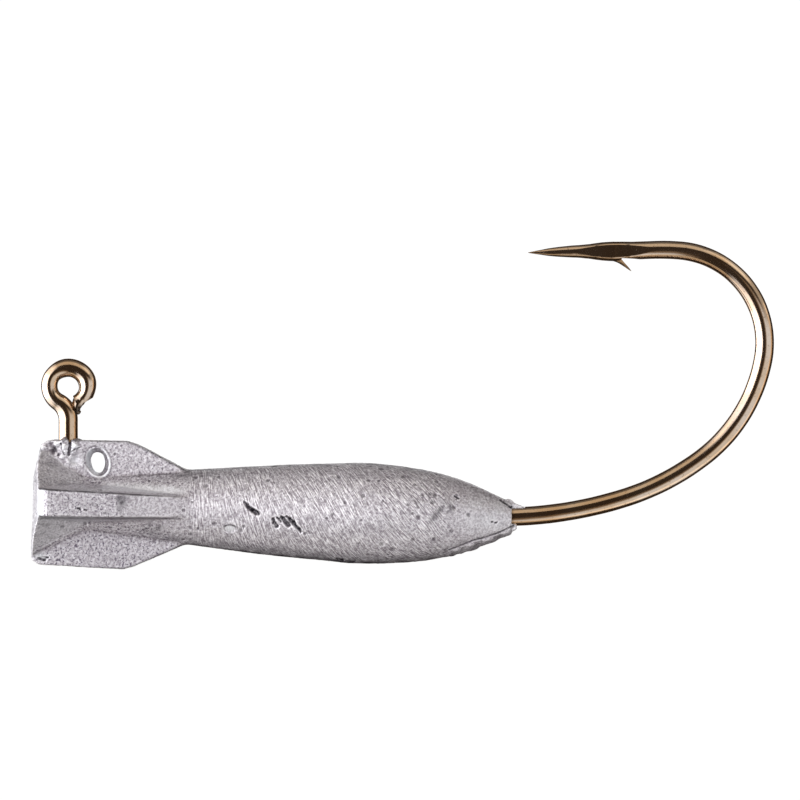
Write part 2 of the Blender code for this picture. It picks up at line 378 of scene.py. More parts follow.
def barb_cut(a, radii, to_tip):
    """The wire's reach a in its own plane, less the cut behind the barb, which is at positive a."""
    depth = np.interp(to_tip, (NOTCH_START, NOTCH_END), (NOTCH_DEPTH, 0.0)) * (to_tip >= NOTCH_START)
    return np.minimum(a, (radii - depth)[:, None])


def wire_object():
    """The whole wire. Its attribute lay holds the run along the wire and the place across it."""
    centres, run, radii = seen_wire()
    to_tip = run[-1] - run
    swell = ring_swell(centres, run)

    def shape(a, b):
        return barb_cut(a, radii, to_tip) * (1.0 + swell)[:, None], pressed_flats(b, radii, to_tip)

    wire, a, b = swept("hook_wire", centres, radii, WIRE_SIDES, shape)
    lay = np.stack([np.repeat(run, WIRE_SIDES), a.ravel(), b.ravel()], axis=1)
    set_attribute(wire.data, "lay", lay)
    return wire


def burr_and_shade_on(co, n):
    """Darker on the burr; painted shade inside the ring and under the barb; a painted shadow by the
    lead.
    """
    x, z = co[:, 0], co[:, 2]
    burr_and_shade = 0.95 * ease(np.hypot((x - 1.08) / 0.46, (z + 2.24) / 0.62), 1.15, 0.75)
    # painted shade where the burr meets the post
    burr_and_shade = np.maximum(burr_and_shade, 0.85 * ease(np.hypot(x - 0.62, z + 1.62), 0.5, 0.25))
    radial = co - np.array((EYE_X, 0.0, 0.0))
    off = np.linalg.norm(radial, axis=1)
    inward = -(n * radial).sum(1) / np.maximum(off, 1e-6)
    # painted shade on the ring's inner side
    burr_and_shade = np.maximum(burr_and_shade, 0.75 * ease(inward, 0.78, 0.95) * (off < 2.2))
    # a painted shadow where the wire leaves the lead
    burr_and_shade = np.maximum(burr_and_shade, 0.85 * ease(x, 43.62, 43.5) * (x > 43.0))
    # painted shade along the barb's lower edge
    barb_x, barb_low, _, _ = zip(*BARB)
    outer = z - np.interp(x, barb_x, barb_low)
    on_barb = (x > barb_x[1]) & (x < barb_x[-1] + 0.1) & (np.abs(z - 13.4) < 0.55)
    burr_and_shade = np.maximum(burr_and_shade, 0.95 * ease(outer, 0.3, 0.17) * on_barb)
    return burr_and_shade * (0.75 + 0.4 * noise(co, 0.3, 6)).clip(0, 1)


def make_hook():
    """The hook with its barb, its nipped eye and the rough burr there."""
    hook = wire_object()
    boolean(hook, "UNION", barb_object())
    boolean(hook, "DIFFERENCE", prism("nip", NIP_FACE, 1.4))
    boolean(hook, "UNION", burr_object())
    mesh = hook.data
    co = read(mesh.vertices, "co", 3)
    near_nip = ease(np.hypot(co[:, 0] - 1.5, co[:, 2] + 1.9), 0.9, 0.4)
    co += read(mesh.vertices, "normal", 3) * (noise(co, 0.22, 5) * 0.05 * near_nip)[:, None]
    set_coordinates(mesh, co * MM)
    # the darker burr and the painted shade, for the wire's material
    set_attribute(mesh, "burr_and_shade", burr_and_shade_on(co, read(mesh.vertices, "normal", 3)))
    mesh.shade_smooth()
    mesh.set_sharp_from_angle(angle=math.radians(32.0))
    return hook


# ---------------- cast lead
# below, x and z are in millimetres and z is from the lead's axis. The near side faces -Y
VOXEL = 0.092
# skin this near to the wire is drawn onto it: inside the head and where the wire has left it
CHANNEL_REACH = 1.25
OUTSIDE_REACH = 0.97
CHANNEL_GAP = 0.012
HEAD_END = 43.4
FIN_HALF = 1.395
# the front face leans back: degrees away from the parting plane, then millimetres at its far parts
FRONT_DRAFT = 7.0
TOP_LEAN = 0.62
SIDE_LEAN = 0.36
CORNER_ROUND = 0.75
# a crease across each hollow beside the side fin: x and height where it starts, fall per mm, steepness
CREASES = ((-2.43, 5.35, 0.682, 0.42), (-2.35, 4.62, 0.545, 0.36))
HOLLOW_FLOOR, HOLLOW_ROOT = 1.0, 0.6
# half the side fin's height along it, and the fins' outline: x and height above or below the axis
SIDE_FIN_EDGE_X = (-2.4, 5.3, 12.4)
SIDE_FIN_EDGE = (1.3, 1.12, 0.96)
FIN_EDGE = ((-2.1, 6.16), (5.9, 6.2), (6.9, 5.93), (8.3, 5.3), (11.9, 3.58))

# the hole's middle, its outlines (y, half width, half height, rise) and how much they lean
HOLE_X, HOLE_Z = 3.14, 4.12
HOLE_RINGS = (
    (-1.75, 1.26, 1.52, 0.0), (-1.4, 1.13, 1.38, 0.0), (-1.05, 0.93, 1.22, 0.0),
    (-0.5, 0.7, 1.05, -0.04), (0.3, 0.68, 1.04, -0.06), (0.9, 0.88, 1.16, -0.02),
    (1.4, 1.13, 1.36, 0.0), (1.75, 1.26, 1.5, 0.0),
)
HOLE_SIDES = 48
HOLE_SHEAR = 0.2
PLUG_R = 1.72

# outlines of the flash above and below the wire where it leaves the head: x, z
EXIT_FLASH = (
    (41.4, 0.75), (41.9, 1.9), (42.3, 1.98), (42.65, 1.74), (43.0, 1.93), (43.35, 1.8), (43.7, 1.48),
    (44.1, 1.36), (44.5, 1.16), (44.75, 1.0), (44.6, 0.75),
)
LIP = ((42.6, -1.62), (43.3, -1.3), (43.85, -0.98), (43.95, -0.6), (43.6, -0.3), (42.6, -0.3))
# lumps of lead drawn up round the post: x, y, z, radius
COLLAR = (
    (-0.95, -0.92, 5.88, 0.58), (1.25, -0.85, 5.9, 0.42), (-0.85, 0.8, 5.95, 0.42),
    (1.1, 0.85, 5.9, 0.38),
)

# slanting strokes along the body: their slant in degrees, and from which x to which they reach
STROKE_ZONES = ((86.0, 12.0, 15.0), (72.0, 15.0, 21.0), (60.0, 21.0, 30.0), (49.0, 30.0, 37.5))
STROKE_BLEND = 1.5
# nicks with painted shade in them: x and z at both ends, half width, depth
NICKS = (
    (-0.42, 5.8, -0.36, 5.25, 0.05, 0.08), (-0.36, 5.25, -0.05, 4.72, 0.05, 0.08),
    (0.62, 5.0, 1.0, 5.28, 0.045, 0.06), (1.0, 5.28, 1.42, 5.45, 0.045, 0.05),
    (17.55, 0.86, 17.85, 0.5, 0.1, 0.14), (17.8, 0.52, 18.3, 0.1, 0.17, 0.22),
    (18.05, 0.3, 18.85, -0.22, 0.17, 0.24), (18.4, -0.04, 18.9, -0.3, 0.15, 0.22),
    (20.42, -0.8, 20.52, -1.14, 0.16, 0.16), (20.5, -1.14, 20.8, -1.46, 0.14, 0.14),
    (20.75, -0.56, 21.15, -0.98, 0.09, 0.13), (21.22, -0.5, 21.5, -0.78, 0.1, 0.14),
    (21.4, -0.68, 21.9, -1.32, 0.19, 0.22), (21.95, -0.66, 22.45, -1.16, 0.17, 0.22),
    (22.35, -1.06, 23.08, -1.84, 0.14, 0.24), (21.65, -0.46, 22.1, -0.8, 0.09, 0.1),
    (37.8, 2.05, 38.15, 1.84, 0.09, 0.1), (37.86, 1.78, 37.98, 1.7, 0.07, 0.08),
    (41.45, -0.3, 41.58, -0.34, 0.07, 0.07), (41.8, -0.42, 41.98, -0.36, 0.08, 0.08),
    (42.3, 1.8, 43.3, 1.12, 0.1, 0.14), (12.55, 0.62, 12.62, 0.58, 0.07, 0.07),
    (26.7, -4.46, 27.2, -4.56, 0.11, 0.08), (27.7, -4.62, 28.4, -4.7, 0.07, 0.05),
    (1.72, -0.36, 1.95, -0.4, 0.1, 0.1), (2.35, -0.46, 2.55, -0.48, 0.08, 0.08),
    (3.6, 0.05, 3.7, -0.08, 0.06, 0.05), (-2.2, -5.42, -1.6, -5.52, 0.13, 0.16),
    (-1.9, -5.25, -1.3, -5.3, 0.08, 0.1),
)
# soft grey stains, and painted shade along the side fin's edges and where the fins meet the body: x, z,
# half length, half width, slant, strength
STAINS_AND_SHADE = (
    (2.1, 0.0, 3.9, 1.5, 0.0, 0.27), (36.2, 0.42, 0.85, 0.3, -52.0, 0.8),
    (35.8, -0.15, 0.5, 0.3, -40.0, 0.62), (37.45, 0.85, 0.52, 0.28, 82.0, 0.8),
    (36.9, 1.35, 0.3, 0.2, 60.0, 0.4), (34.2, 1.3, 0.6, 0.3, 30.0, 0.3),
    (31.5, -0.6, 0.7, 0.35, 70.0, 0.25), (33.0, 0.2, 0.5, 0.3, 40.0, 0.25),
    (5.82, 0.78, 0.6, 0.34, -10.0, 0.92), (5.88, 0.4, 0.6, 0.45, 80.0, 0.8),
    (5.72, -0.1, 0.5, 0.32, 80.0, 0.52), (5.1, 0.88, 1.0, 0.07, -4.0, 0.6),
    (4.55, -0.72, 0.82, 0.16, 0.0, 0.5), (3.4, -0.9, 1.0, 0.1, 0.0, 0.5),
    (3.2, 0.15, 0.35, 0.22, 20.0, 0.4), (0.2, 0.95, 1.4, 0.06, -2.0, 0.45),
    (2.8, -0.35, 0.5, 0.25, 10.0, 0.22), (9.3, -2.05, 0.8, 0.3, -20.0, 0.42),
    (8.4, -1.75, 0.4, 0.3, 0.0, 0.35), (10.4, -3.15, 1.3, 0.2, -2.0, 0.5),
    (7.7, -2.75, 0.55, 0.14, 48.0, 0.45), (8.0, -2.2, 0.5, 0.22, 60.0, 0.4),
    (9.0, -2.6, 1.0, 0.35, 10.0, 0.28), (11.6, 3.15, 1.2, 0.22, -8.0, 0.5),
    (13.4, 3.3, 1.6, 0.25, -2.0, 0.35), (9.8, 2.75, 1.2, 0.15, -5.0, 0.2),
    (6.1, 3.7, 0.16, 0.12, 0.0, 0.5), (-1.3, -2.9, 1.4, 0.1, -28.0, 0.22),
    (-2.2, 4.6, 0.5, 0.4, -60.0, 0.35), (-1.9, -4.6, 0.4, 0.8, 0.0, 0.25),
    (0.6, 1.95, 3.0, 0.14, -2.0, 0.25), (28.0, 3.4, 2.5, 0.35, -3.0, 0.15),
)
# lumps and hollows of the torn gate beside the post: x, z, radius, height
TORN = (
    (-1.95, 5.45, 0.34, 0.09), (-1.05, 5.15, 0.4, -0.42), (-0.72, 5.62, 0.26, 0.15),
    (-0.05, 5.45, 0.34, 0.26), (0.02, 4.95, 0.24, 0.2), (-0.62, 4.66, 0.15, -0.3),
    (-0.25, 4.45, 0.2, 0.16), (0.95, 5.55, 0.32, 0.2), (0.72, 5.05, 0.2, 0.16),
    (0.95, 4.15, 0.45, -0.22), (1.35, 5.1, 0.3, 0.06), (-1.5, 4.75, 0.25, 0.1), (0.3, 4.05, 0.25, 0.08),
    (-1.42, 5.9, 0.22, -0.09), (0.1, 6.05, 0.25, 0.12),
)
# the slit below the post, and the seam under the nose: x, z
SLIT = ((0.44, 6.3), (0.46, 5.6), (0.4, 5.1), (0.36, 4.72))
SEAM = (
    (36.9, -3.52), (37.6, -3.12), (38.4, -2.8), (39.6, -2.24), (40.9, -1.88), (42.0, -1.5),
    (42.9, -1.05), (43.6, -0.66),
)
PIT_X, PIT_Z, PIT_HALF_X, PIT_HALF_Z, PIT_DEPTH = 16.27, -1.86, 0.62, 0.36, 0.07
# a height over the smoothed skin that counts as a full peak
RELIEF = 0.014


def hole_tool():
    """The hole through the upper fin: wide on both faces, narrow and a little uneven inside."""
    rings = []
    for y, half_x, half_z, rise in HOLE_RINGS:
        ring = []
        for k in range(HOLE_SIDES):
            angle = 2 * math.pi * k / HOLE_SIDES
            uneven = 1.0 + 0.035 * math.sin(2 * angle + 0.6) + 0.03 * math.sin(3 * angle + y)
            lean = math.cos(angle) - HOLE_SHEAR * math.sin(angle)
            ring.append((HOLE_X + half_x * uneven * lean, y,
                         AXIS_Z + HOLE_Z + rise + half_z * uneven * math.sin(angle)))
        rings.append(ring)
    return loft("hole", rings)


def plug_tool():
    """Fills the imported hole, so that the seen one can be cut in its place."""
    bm = bmesh.new()
    place = Matrix.Translation((HOLE_X + 0.1, 0.0, AXIS_Z + HOLE_Z - 0.08))
    bmesh.ops.create_cone(bm, cap_ends=True, segments=40, radius1=PLUG_R, radius2=PLUG_R,
                          depth=2 * FIN_HALF, matrix=place @ Matrix.Rotation(math.pi / 2, 4, "X"))
    return object_from("plug", bm)


def collar_lump(x, y, z, radius):
    bm = bmesh.new()
    bmesh.ops.create_icosphere(bm, subdivisions=3, radius=radius,
                               matrix=Matrix.Translation((x, y, AXIS_Z + z)))
    return object_from("collar", bm)


def hull(name, corners):
    """The convex block round some corners."""
    bm = bmesh.new()
    for corner in corners:
        bm.verts.new(corner)
    bmesh.ops.convex_hull(bm, input=bm.verts)
    bmesh.ops.recalc_face_normals(bm, faces=bm.faces)
    return object_from(name, bm)


def front_at(y):
    """Where the drafted front face is, at a distance from the parting plane."""
    return TAIL_X + 0.015 + abs(y) * math.tan(math.radians(FRONT_DRAFT))


def hollow_fillings():
    """Planes that rise from a crease on each fin to the side fin, one in each hollow at the front."""
    for sign, (start, height, fall, steepness) in zip((1, -1), CREASES):
        for side in (-1, 1):
            top_x = front_at(FIN_HALF)
            top = height - fall * (top_x - start)
            end_x = start + (height - HOLLOW_FLOOR) / fall
            deep = FIN_HALF + steepness * (top - HOLLOW_FLOOR) / math.hypot(1.0, fall)
            corners = [(top_x, side * FIN_HALF, AXIS_Z + sign * top),
                       (front_at(deep), side * deep, AXIS_Z + sign * HOLLOW_FLOOR),
                       (end_x, side * FIN_HALF, AXIS_Z + sign * HOLLOW_FLOOR)]
            corners += [(x + 0.05, side * HOLLOW_ROOT, z) for x, _, z in corners]
            yield hull("filling", corners)


def hollow_depth(x, z):
    """How far inside a filled hollow a point is, in millimetres."""
    depth = np.zeros(len(x))
    for sign, (start, height, fall, _) in zip((1, -1), CREASES):
        below = (height - fall * (x - start) - sign * z) / math.hypot(1.0, fall)
        depth = np.maximum(depth, below * (sign * z > 1.2))
    return depth


def packed_head():
    """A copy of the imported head, in millimetres."""
    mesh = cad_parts["lead_head"].data.copy()
    mesh.transform(Matrix.Scale(1.0 / MM, 4))
    mesh.materials.clear()
    bm = bmesh.new()
    bm.from_mesh(mesh)
    bmesh.ops.remove_doubles(bm, verts=bm.verts, dist=0.0005)
    bm.to_mesh(mesh)
    bm.free()
    return add_object("lead_casting", mesh)


def lead_body():
    """The head with its own hole, its flash and its collar, as one fine closed skin."""
    lead = packed_head()
    boolean(lead, "UNION", plug_tool())
    boolean(lead, "DIFFERENCE", hole_tool())
    for name, outline, half in (("exit_flash", EXIT_FLASH, 0.42), ("lip", LIP, 0.55)):
        boolean(lead, "UNION", prism(name, [(x, AXIS_Z + z) for x, z in outline], half))
    for filling in hollow_fillings():
        boolean(lead, "UNION", filling)
    for lump in COLLAR:
        boolean(lead, "UNION", collar_lump(*lump))
    remesh = lead.modifiers.new("skin", "REMESH")
    remesh.mode = "VOXEL"
    remesh.voxel_size = VOXEL
    apply_modifiers(lead)
    return lead


def to_line(points, line):
    """Distance of each point to a line of straight stretches, and the nearest point on it."""
    best = np.full(len(points), 1e9)
    nearest = np.zeros_like(points)
    for start, step in zip(line[:-1], np.diff(line, axis=0)):
        t = np.clip(((points - start) @ step) / (step @ step), 0, 1)
        point = start + t[:, None] * step
        gap = np.linalg.norm(points - point, axis=1)
        closer = gap < best
        best = np.where(closer, gap, best)
        nearest[closer] = point[closer]
    return best, nearest


def softened(co, pairs):
    """The skin with its edges slightly rounded and the hollows between the fins well rounded."""
    crisp = smoothed(co, pairs, 4)
    soft = smoothed(crisp, pairs, 60)
    x, z = co[:, 0], co[:, 2] - AXIS_Z
    height = np.abs(z)
    hollow = (ease(x, -2.4, -1.4) * ease(x, 12.5, 9.5) * ease(height, 1.8, 2.5)
              * ease(height, 5.4, 4.8) * ease(np.hypot(x - HOLE_X, z - HOLE_Z), 1.5, 2.0))
    hollow *= ease(hollow_depth(x, z), 0.1, -0.1)
    merge = ease(x, 10.2, 11.6) * ease(x, 15.0, 13.2)
    share = np.maximum(hollow, merge)[:, None]
    return crisp * (1 - share) + soft * share


def slanted(x, arc, slant):
    """Coordinates along and across strokes that slant down to the right."""
    angle = math.radians(slant)
    return (x * math.cos(angle) - arc * math.sin(angle),
            x * math.sin(angle) + arc * math.cos(angle))


def front_lean(z):
    """How far the front face leans back at a height above the axis."""
    return TOP_LEAN * ease(z, 1.5, 6.2) ** 1.3


def leaned_front(co):
    """The skin with its front face leaning back towards its top, its sides and its corners."""
    x, y, z = co[:, 0], co[:, 1], co[:, 2] - AXIS_Z
    lean = front_lean(z) + SIDE_LEAN * ease(np.abs(y), 2.2, 5.9)
    lean += CORNER_ROUND * np.clip((np.abs(z) - 5.1) / 1.1, 0, 1) ** 2.6
    lean += 0.06 * noise(co, 1.3, 40)
    co[:, 0] += ease(x, 1.0, -2.4) * lean
    return co


class Skin:
    """The lead's skin while it is worked on: its points, zones from 0 to 1, and what is done to it.

    move is how far each point goes outwards. grime darkens the lead with stains, chips and painted
    shade, and shine brightens it with painted highlights.
    """

    def __init__(self, co, n):
        x, y, z = co[:, 0], co[:, 1], co[:, 2] - AXIS_Z
        self.n = n
        self.x, self.y, self.z = x, y, z
        self.rel = np.stack([x, y, z], axis=1)
        self.flat = np.stack([x, z], axis=1)
        self.around = np.arctan2(z, np.abs(y))
        radial = np.hypot(y, z)
        # the skin unrolled: along the head, round it, and far apart for its two sides
        self.arc = radial * self.around
        self.wrap = np.stack([x, self.arc, np.where(y < 0, 0.0, 50.0)], axis=1)
        self.near = ease(y, 0.3, -0.3)
        self.body = ease(x, 10.5, 13.5)
        self.slope = (ease(x, 4.8, 6.2) * ease(radial, 2.6, 3.4) * ease(np.abs(z), 1.9, 1.5)
                      * (1 - self.body))
        self.chamfer = ease(x, -1.45, -1.75) * ease(np.abs(y), 4.2, 4.8) * ease(np.abs(z), 1.5, 1.2)
        # millimetres inside a filled hollow, and the way out from the hole's middle, 1 at its rim
        self.filled = hollow_depth(x, z)
        _, rim_x, rim_z, _ = HOLE_RINGS[1]
        self.ring = np.hypot((x - HOLE_X + HOLE_SHEAR * (z - HOLE_Z) * rim_x / rim_z) / rim_x,
                             (z - HOLE_Z) / rim_z)
        self.ragged = 0.07 * noise(self.rel, 0.22, 31)
        self.patchy = (0.8 + 0.5 * noise(self.rel, 0.7, 71)).clip(0, 1)
        self.move = np.zeros(len(co))
        self.grime_and_shade = np.zeros(len(co))
        self.painted_highlight = np.zeros(len(co))

    def darken(self, amount):
        self.grime_and_shade = np.maximum(self.grime_and_shade, amount)

    def brighten(self, amount):
        self.painted_highlight = np.maximum(self.painted_highlight, amount)


def add_grain(skin):
    """An uneven skin with a fine grain, coarser on the fins."""
    rel, body = skin.rel, skin.body
    skin.move += 0.03 * noise(rel, 6.0, 1) + 0.016 * noise(rel, 2.1, 2) + 0.012 * noise(rel, 0.9, 3)
    fin_grain = 0.02 * noise(rel, 0.34, 4) + 0.018 * noise(rel, 0.21, 5)
    body_grain = 0.012 * noise(rel, 0.3, 6) + 0.013 * noise(rel, 0.19, 7)
    skin.move += fin_grain * (1 - body) * (1 - 0.6 * skin.slope) + body_grain * body


def add_strokes(skin):
    """Slanting strokes along the round body."""
    strokes = np.zeros(len(skin.x))
    for k, (slant, low, high) in enumerate(STROKE_ZONES):
        along, cross = slanted(skin.x, skin.arc, slant)
        field = np.stack([along, cross, skin.wrap[:, 2]], axis=1)
        lines = 0.5 * noise(field, (1.3, 0.21, 1.0), 11 + k)
        lines += 0.5 * noise(field, (0.7, 0.17, 1.0), 21 + k)
        rise = ease(skin.x, low - STROKE_BLEND, low + STROKE_BLEND)
        fall = ease(skin.x, high + STROKE_BLEND, high - STROKE_BLEND)
        strokes += rise * fall * lines
    zone = ease(skin.around, -0.55, 0.1) * ease(skin.around, 1.45, 1.15)
    skin.move += 0.026 * strokes * (0.3 + 0.7 * zone) * skin.body


def add_nicks(skin):
    """Nicks on the near side, a little uneven, with painted shade in them."""
    nick_patchiness = (0.86 + 0.45 * noise(skin.rel, 0.17, 32)).clip(0, 1)
    for x1, z1, x2, z2, half, depth in NICKS:
        gap, _ = to_line(skin.flat, np.array(((x1, z1), (x2, z2))))
        cut = ease(gap + skin.ragged, half * 1.55, half * 0.75) * skin.near
        skin.move -= depth * cut
        # painted shade in the nicks
        skin.darken(cut * nick_patchiness)


def add_stains_and_shade(skin):
    """Soft grey stains on the near side, and painted shade along the side fin's edges and where the fins
    meet the body.
    """
    blotch = 0.85 + 0.35 * noise(skin.rel, 0.4, 33)
    for x, z, long, wide, slant, strength in STAINS_AND_SHADE:
        along, cross = slanted(skin.x - x, skin.z - z, slant)
        spot = np.exp(-(along / long) ** 2 - (cross / wide) ** 2) * blotch * skin.near
        # stains, and painted shade along the side fin's edges and where the fins meet the body
        skin.darken(strength * spot.clip(0, 1))


def add_oval_pit(skin):
    """A shallow oval pit, with painted shade along its rim, most at the top, and a painted highlight
    inside it.
    """
    oval = np.hypot((skin.x - PIT_X) / PIT_HALF_X, (skin.z - PIT_Z) / PIT_HALF_Z)
    bowl = ease(oval, 1.12, 0.85) * skin.near
    skin.move -= PIT_DEPTH * bowl
    rim = bell(oval, 1.05, 0.2) * skin.near
    # painted shade on the rim, strongest at its top
    skin.darken(rim * (0.16 + 0.8 * ease(skin.z, PIT_Z + 0.05, PIT_Z + 0.28)))
    # a painted highlight in the bowl
    skin.brighten(0.55 * bowl * (1 - rim))


def add_small_pits(skin):
    """Small pits all over, most of them towards the nose, with painted shade in them."""
    share = 0.1 + 0.3 * ease(skin.x, 27.0, 31.0) * ease(skin.x, 40.0, 36.0)
    small = pits(skin.rel, 0.7, share, 51)
    skin.move -= 0.06 * small
    # painted shade in the pits
    skin.darken(0.55 * small)


def tear_gate(skin):
    """The torn gate by the post: rough lumps and a trough with painted highlights, deep hollows and a
    slit with painted shade.
    """
    x, z = skin.x, skin.z
    outside = ease(np.abs(skin.y), 0.9, 1.2)
    on_near = skin.near * ease(x, -3.2, -2.6) * outside
    on_both = on_near + (1 - skin.near) * 0.6 * outside
    for x0, z0, radius, height in TORN:
        dab = np.exp(-((x - x0) ** 2 + (z - z0) ** 2) / radius ** 2)
        skin.move += height * dab * on_both
        if height < -0.25:
            # painted shade in the deep hollows
            skin.darken(0.75 * ease(dab, 0.35, 0.9) * on_near)
        elif height > 0.12:
            # painted highlights on the high lumps
            skin.brighten(0.5 * dab * on_near)
    # a painted highlight in the trough
    skin.brighten(0.55 * np.exp(-((x - 0.95) ** 2 + (z - 4.15) ** 2) / 0.3) * on_near)
    gate = ease(np.hypot((x + 0.6) / 2.3, (z - 5.5) / 1.2), 1.1, 0.6) * on_both
    rough = 0.16 * (0.35 - np.abs(noise(skin.rel, 0.62, 61))) + 0.05 * noise(skin.rel, 0.28, 62)
    skin.move += gate * rough
    slit, _ = to_line(skin.flat, np.array(SLIT))
    slit = ease(slit + 0.3 * skin.ragged, 0.17, 0.05) * on_both
    skin.move -= 0.45 * slit
    # painted shade in the slit
    skin.darken(slit * on_near)


def finish_hole(skin):
    """The hole's rim, raised at its lower right, and its wall, scored at the right: painted highlights
    at the rim's lower right and the wall's left, painted shade on the rest.
    """
    ring, across, up = skin.ring, skin.x - HOLE_X, skin.z - HOLE_Z
    outside = ease(np.abs(skin.y), 1.0, 1.3)
    lower_right = ease(across - 0.6 * up, -1.2, 0.5)
    rim = bell(ring, 1.07, 0.075) * outside
    skin.move += (0.13 * lower_right - 0.05) * rim
    # a painted highlight on the rim's lower right, painted shade on the rest of the rim and round it
    skin.brighten(0.75 * lower_right * rim * skin.near)
    skin.darken(0.2 * (1 - lower_right) * rim * skin.near)
    skin.darken(0.22 * bell(ring, 1.24, 0.07) * skin.near * outside)
    wall = ease(ring, 1.0, 0.94) * ease(np.abs(skin.y), 1.5, 1.3)
    right = ease(across + 0.25 * up, -0.5, 0.1)
    scored = noise(np.stack([ring * 1.3, skin.y, skin.z], axis=1), (0.16, 0.9, 1.6), 63)
    # painted shade, streaked, on the wall's right, and a painted highlight on its left
    skin.darken(wall * right * (0.36 + 0.6 * scored).clip(0, 0.85))
    skin.brighten(0.9 * wall * (1 - right))


def add_seam(skin):
    """A crack with painted shade in it, and a ragged flap of flash under the nose."""
    gap, nearest = to_line(skin.flat, np.array(SEAM))
    within = ease(skin.x, 36.6, 37.2) * skin.near
    crack = ease(gap + 0.3 * skin.ragged, 0.13, 0.03) * within
    skin.move -= 0.07 * crack
    # painted shade in the crack
    skin.darken(0.75 * crack * (0.7 + 0.6 * noise(skin.rel, 0.5, 64)).clip(0, 1))
    flap = ease(nearest[:, 1] - skin.z, 0.06, 0.25) * within * (gap < 1.6)
    torn = noise(skin.rel, (0.45, 1.0, 0.45), 65)
    skin.move += flap * (0.07 + 0.09 * torn)
    skin.darken(0.3 * flap * (torn < -0.25))


def darken_fin_edges(skin):
    """Painted shade on the fins' edge faces where they turn away from the sides, and a thin painted dark
    outline round their near faces.
    """
    x, y, z, n = skin.x, skin.y, skin.z, skin.n
    facing = np.abs(n[:, 1])
    sheared = ease(facing, 0.96, 0.6) * ease(np.abs(y), 1.75, 1.5) * ease(n[:, 0], -0.7, -0.4)
    sheared *= ease(facing, 0.12, 0.45) * 0.75 + 0.25
    sheared *= ease(np.abs(z), 2.2, 3.0) * (1 - skin.body) * ease(skin.ring, 1.3, 1.5)
    by_post = ease(np.hypot(x - 0.1, y), 2.2, 1.4)
    # painted shade on the fins' turned edge faces
    skin.darken(0.8 * sheared * skin.patchy * (1 - by_post))
    outline, _ = to_line(np.stack([x, np.abs(z)], axis=1), np.array(FIN_EDGE))
    outline = ease(outline + 0.4 * skin.ragged, 0.27, 0.12) * (1 - skin.body)
    outline *= ease(n[:, 2], -1.0, -0.9) * ease(x, -2.2, -1.2)
    # a thin painted dark outline along the fins' edges
    skin.darken(0.6 * outline * skin.near)


def tone_hollows(skin):
    """The filled hollows: mottled, made a little paler with painted highlight, and with a painted
    highlight along the crease at their edge.
    """
    inside = ease(skin.filled, 0.04, 0.3)
    mottle = 0.08 + 0.32 * ease(noise(skin.rel, (1.4, 1.0, 0.42), 74), 0.0, 0.7)
    skin.darken(mottle * inside * skin.near)
    # a painted highlight along the crease
    crease = bell(skin.filled, 0.0, 0.1) * (skin.filled > 0) * ease(skin.x, 2.5, 1.0)
    skin.brighten(0.5 * crease * skin.near)
    # the hollows made paler, as painted highlight
    pale = np.where(skin.z > 0, 0.18, 0.3) * ease(skin.filled, 0.05, 0.3)
    skin.brighten(pale * skin.near)


def darken_body(skin):
    """Painted shade on the body's top and underside, where they turn away."""
    up = skin.n[:, 2]
    under = 0.5 * ease(up, -0.72, -0.97) + 0.5 * ease(up, -0.9, -0.99)
    above = 0.35 * ease(up, 0.88, 0.97) + 0.5 * ease(up, 0.95, 0.99)
    # painted shade on the underside and the top
    skin.darken(under * skin.body * skin.patchy)
    skin.darken(above * skin.body * skin.patchy)


def shade_grooves(skin):
    """Painted shade in the groove along both edges of the side fins, and a painted highlight in a stripe
    above them.
    """
    x, z = skin.x, skin.z
    beyond = np.abs(z) - np.interp(x, SIDE_FIN_EDGE_X, SIDE_FIN_EDGE)
    flank = ease(np.abs(skin.y), 1.6, 2.4) * ease(x, 12.2, 10.6) * ease(x, -2.7, -2.4)
    flank *= 0.35 + 0.65 * ease(x, 12.0, 8.5)
    wide = np.interp(x, SIDE_FIN_EDGE_X, (0.26, 0.2, 0.09)) * np.where(z < 0, 1.0, 0.75)
    groove = ease(beyond, -0.06, 0.02) * ease(beyond, wide * 1.6, wide * 0.6) * flank
    groove *= ease(skin.n[:, 0], -0.8, -0.5)
    # painted shade in the grooves
    groove_shade = np.where(z < 0, 0.62, 0.8) + 0.25 * noise(skin.rel, 0.5, 72)
    skin.darken(groove * groove_shade.clip(0, 0.9))
    # a painted highlight in a stripe above the side fin
    stripe = ease(beyond, 0.22, 0.36) * ease(beyond, 1.3, 0.7) * ease(x, 3.0, 5.0) * ease(x, 12.5, 10.5)
    skin.brighten(0.5 * stripe * (z > 0) * ease(np.abs(skin.y), 1.5, 2.2))


def tone_front(skin):
    """Chips along the front edge, painted highlights on the side fin's chamfer and the front face's near
    half, and the far half's own skin.
    """
    x, z, n = skin.x, skin.z, skin.n
    front_line = x.min() + front_lean(z)
    chips = ease(noise(skin.rel, (0.3, 0.5, 0.22), 73), 0.15, 0.45)
    chips *= bell(x - front_line, 0.26, 0.15) * ease(np.abs(z), 1.3, 1.6)
    skin.darken(0.75 * chips * ease(n[:, 0], -0.98, -0.85) * skin.near)
    # painted highlights on the side fin's chamfer and on the near half of the front face
    skin.brighten(0.7 * skin.chamfer * skin.near)
    face = ease(n[:, 0], -0.75, -0.92) * ease(x, 0.0, -1.5)
    skin.brighten(0.26 * face * skin.near)
    cast_skin = (0.62 + 0.3 * noise(skin.rel, (1.0, 0.9, 0.7), 75)).clip(0, 0.85)
    skin.darken(cast_skin * face * (1 - skin.near))


